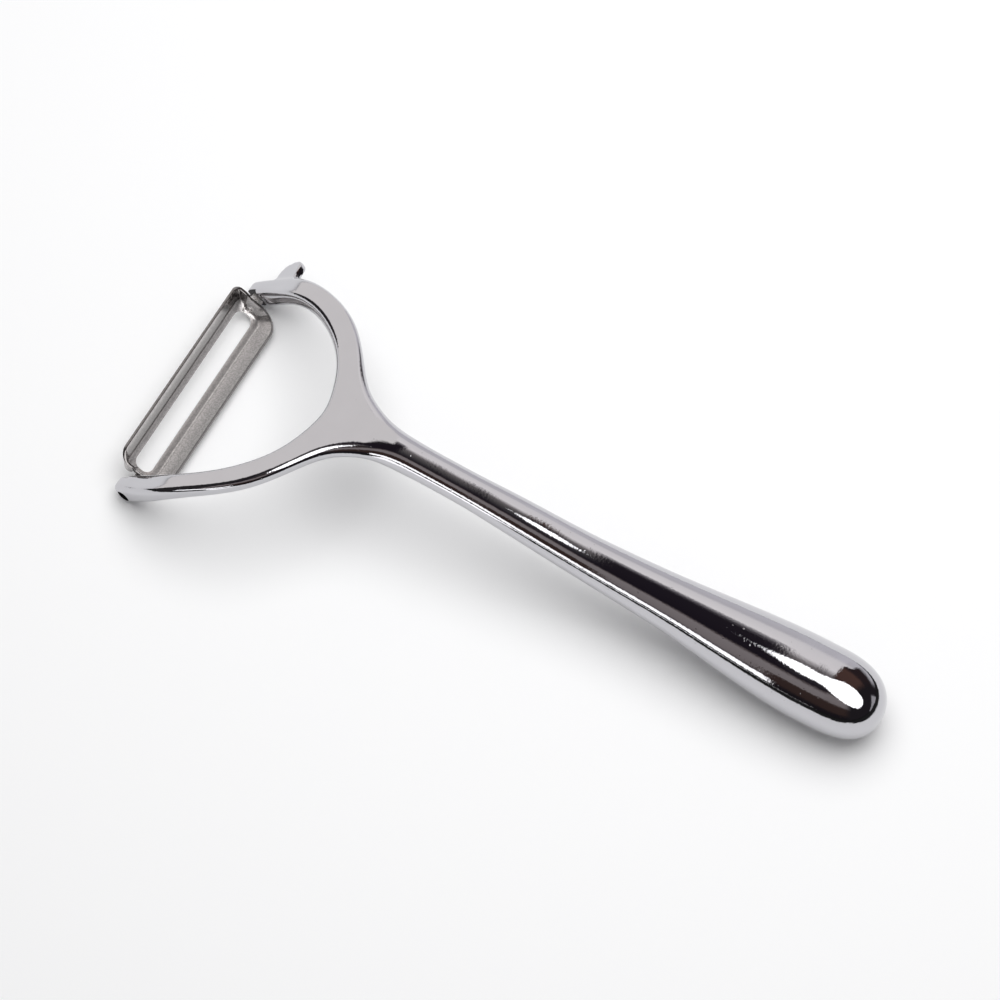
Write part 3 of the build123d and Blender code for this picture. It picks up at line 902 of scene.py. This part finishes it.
def turned_pin(material):
    """A node tree that turns a stepped pin between two places, with its edges rounded."""
    tree = bpy.data.node_groups.new("turned pin", "GeometryNodeTree")
    sockets = {}
    for name, kind in (("Head", "NodeSocketVector"), ("Foot", "NodeSocketVector"),
                       ("Seat Length", "NodeSocketFloat"), ("Seat Radius", "NodeSocketFloat"),
                       ("Journal Radius", "NodeSocketFloat"), ("Edge Rounding", "NodeSocketFloat")):
        sockets[name] = tree.interface.new_socket(name, in_out="INPUT", socket_type=kind).identifier
    tree.interface.new_socket("Geometry", in_out="OUTPUT", socket_type="NodeSocketGeometry")
    link, add = tree.links.new, adder(tree)
    given = add("NodeGroupInput", -1200, 0).outputs
    line = add("GeometryNodeCurvePrimitiveLine", -900, 200)
    link(given["Head"], line.inputs["Start"])
    link(given["Foot"], line.inputs["End"])
    fine = add("GeometryNodeResampleCurve", -700, 200)
    fine.inputs["Count"].default_value = 220
    link(line.outputs[0], fine.inputs["Curve"])
    place = add("GeometryNodeSplineParameter", -900, -100).outputs["Length"]
    size = add("GeometryNodeSplineLength", -900, -300).outputs["Length"]
    rounding = given["Edge Rounding"]

    def rounded(radius, from_edge):
        """The radius, less what the rounding takes at this distance from an edge."""
        short = joined(tree, add, "MAXIMUM", joined(tree, add, "SUBTRACT", rounding, from_edge), 0.0)
        left = joined(tree, add, "SUBTRACT", joined(tree, add, "MULTIPLY", rounding, rounding),
                      joined(tree, add, "MULTIPLY", short, short))
        return joined(tree, add, "ADD", joined(tree, add, "SUBTRACT", radius, rounding),
                      joined(tree, add, "SQRT", left, 0.0))

    past = joined(tree, add, "SUBTRACT", place, given["Seat Length"])
    to_step = joined(tree, add, "ABSOLUTE", past, 0.0)
    seat = rounded(given["Seat Radius"], joined(tree, add, "MINIMUM", place, to_step))
    journal = rounded(given["Journal Radius"], joined(tree, add, "SUBTRACT", size, place))
    thin = joined(tree, add, "GREATER_THAN", past, 0.0)
    change = joined(tree, add, "MULTIPLY", thin, joined(tree, add, "SUBTRACT", journal, seat))
    radius = joined(tree, add, "ADD", seat, change)
    ring = add("GeometryNodeCurvePrimitiveCircle", -400, -200)
    ring.inputs["Resolution"].default_value = 48
    ring.inputs["Radius"].default_value = 1.0
    solid = add("GeometryNodeCurveToMesh", -100, 100)
    solid.inputs["Fill Caps"].default_value = True
    link(fine.outputs[0], solid.inputs["Curve"])
    link(ring.outputs[0], solid.inputs["Profile Curve"])
    link(radius, solid.inputs["Scale"])
    real = add("GeometryNodeRealizeInstances", 100, 100)
    link(solid.outputs[0], real.inputs[0])
    finish = add("GeometryNodeSetMaterial", 300, 100)
    finish.inputs["Material"].default_value = material
    link(real.outputs[0], finish.inputs["Geometry"])
    link(finish.outputs[0], add("NodeGroupOutput", 500, 100).inputs[0])
    return tree, sockets


class PEELER_OT_stage(bpy.types.Operator):
    """Set the table, the light and the camera"""

    bl_idname = "peeler.stage"
    bl_label = "Set Stage"

    def execute(self, context):
        settings = context.scene.peeler_stage
        scene = context.scene
        scene.view_settings.view_transform = "Standard"
        mesh = bpy.data.meshes.new("table")
        mesh.from_pydata([(x, y, 0) for x, y in ((-3, -3), (3, -3), (3, 3), (-3, 3))], [], [(0, 1, 2, 3)])
        table = bpy.data.objects.new("table", mesh)
        scene.collection.objects.link(table)
        mesh.materials.append(pale_table(settings))
        scene.world = studio(settings)

        lamp = lamp_at("overhead", "DISK", settings.lamp_size, 0, settings.lamp_power, settings.lamp_place)
        lamp.visible_glossy = False
        strip = lamp_at("strip", "RECTANGLE", settings.strip_length, settings.strip_height,
                        settings.strip_power, settings.strip_place)
        strip.rotation_euler = (math.radians(90), 0, 0)
        softbox = lamp_at("softbox", "ELLIPSE", settings.box_length, settings.box_width, settings.box_power,
                          settings.box_place)
        away = softbox.location - Vector((np.array((165.0, 0.0, 10.0)) + FOOT) * MM)
        softbox.rotation_euler = Matrix((Vector((0, 1, 0)).cross(away).normalized(),
                                         away.cross(Vector((0, 1, 0)).cross(away)).normalized(),
                                         away.normalized())).transposed().to_euler()
        for lamp in (strip, softbox):
            lamp.visible_diffuse = lamp.visible_camera = False

        a, e = settings.azimuth, settings.elevation
        right = Vector((math.cos(a), math.sin(a), 0))
        up = Vector((-math.sin(a) * math.sin(e), math.cos(a) * math.sin(e), math.cos(e)))
        back = right.cross(up)
        camera = bpy.data.objects.new("camera", bpy.data.cameras.new("camera"))
        scene.collection.objects.link(camera)
        camera.data.sensor_width = 36.0
        camera.data.lens = 124.17
        target = Vector((np.array((79.544, 6.10, 10.0)) + FOOT) * MM)
        turn = Matrix((right, up, back)).transposed().to_4x4()
        camera.matrix_world = Matrix.Translation(target + back * settings.distance) @ turn
        camera.data.clip_start, camera.data.clip_end = 0.05, 20
        scene.camera = camera
        return {"FINISHED"}


class PEELER_PT_panel(bpy.types.Panel):
    """Buttons that build the peeler"""

    bl_idname = "PEELER_PT_panel"
    bl_label = "Vegetable Peeler"
    bl_space_type = "VIEW_3D"
    bl_region_type = "UI"
    bl_category = "Peeler"

    def draw(self, context):
        for name in STEPS:
            self.layout.operator(f"peeler.{name}")


STEPS = ("casting", "blade", "pins", "stage")
CLASSES = (PeelerMetalSettings, PeelerStageSettings, PEELER_OT_casting, PEELER_OT_blade, PEELER_OT_pins,
           PEELER_OT_stage, PEELER_PT_panel)


def register():
    for made in CLASSES:
        bpy.utils.register_class(made)
    bpy.types.Scene.peeler_metal = PointerProperty(type=PeelerMetalSettings)
    bpy.types.Scene.peeler_stage = PointerProperty(type=PeelerStageSettings)


def unregister():
    del bpy.types.Scene.peeler_stage
    del bpy.types.Scene.peeler_metal
    for made in reversed(CLASSES):
        bpy.utils.unregister_class(made)


def main():
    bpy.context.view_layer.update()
    register()
    for name in STEPS:
        getattr(bpy.ops.peeler, name)()


if __name__ == "__main__":
    main()
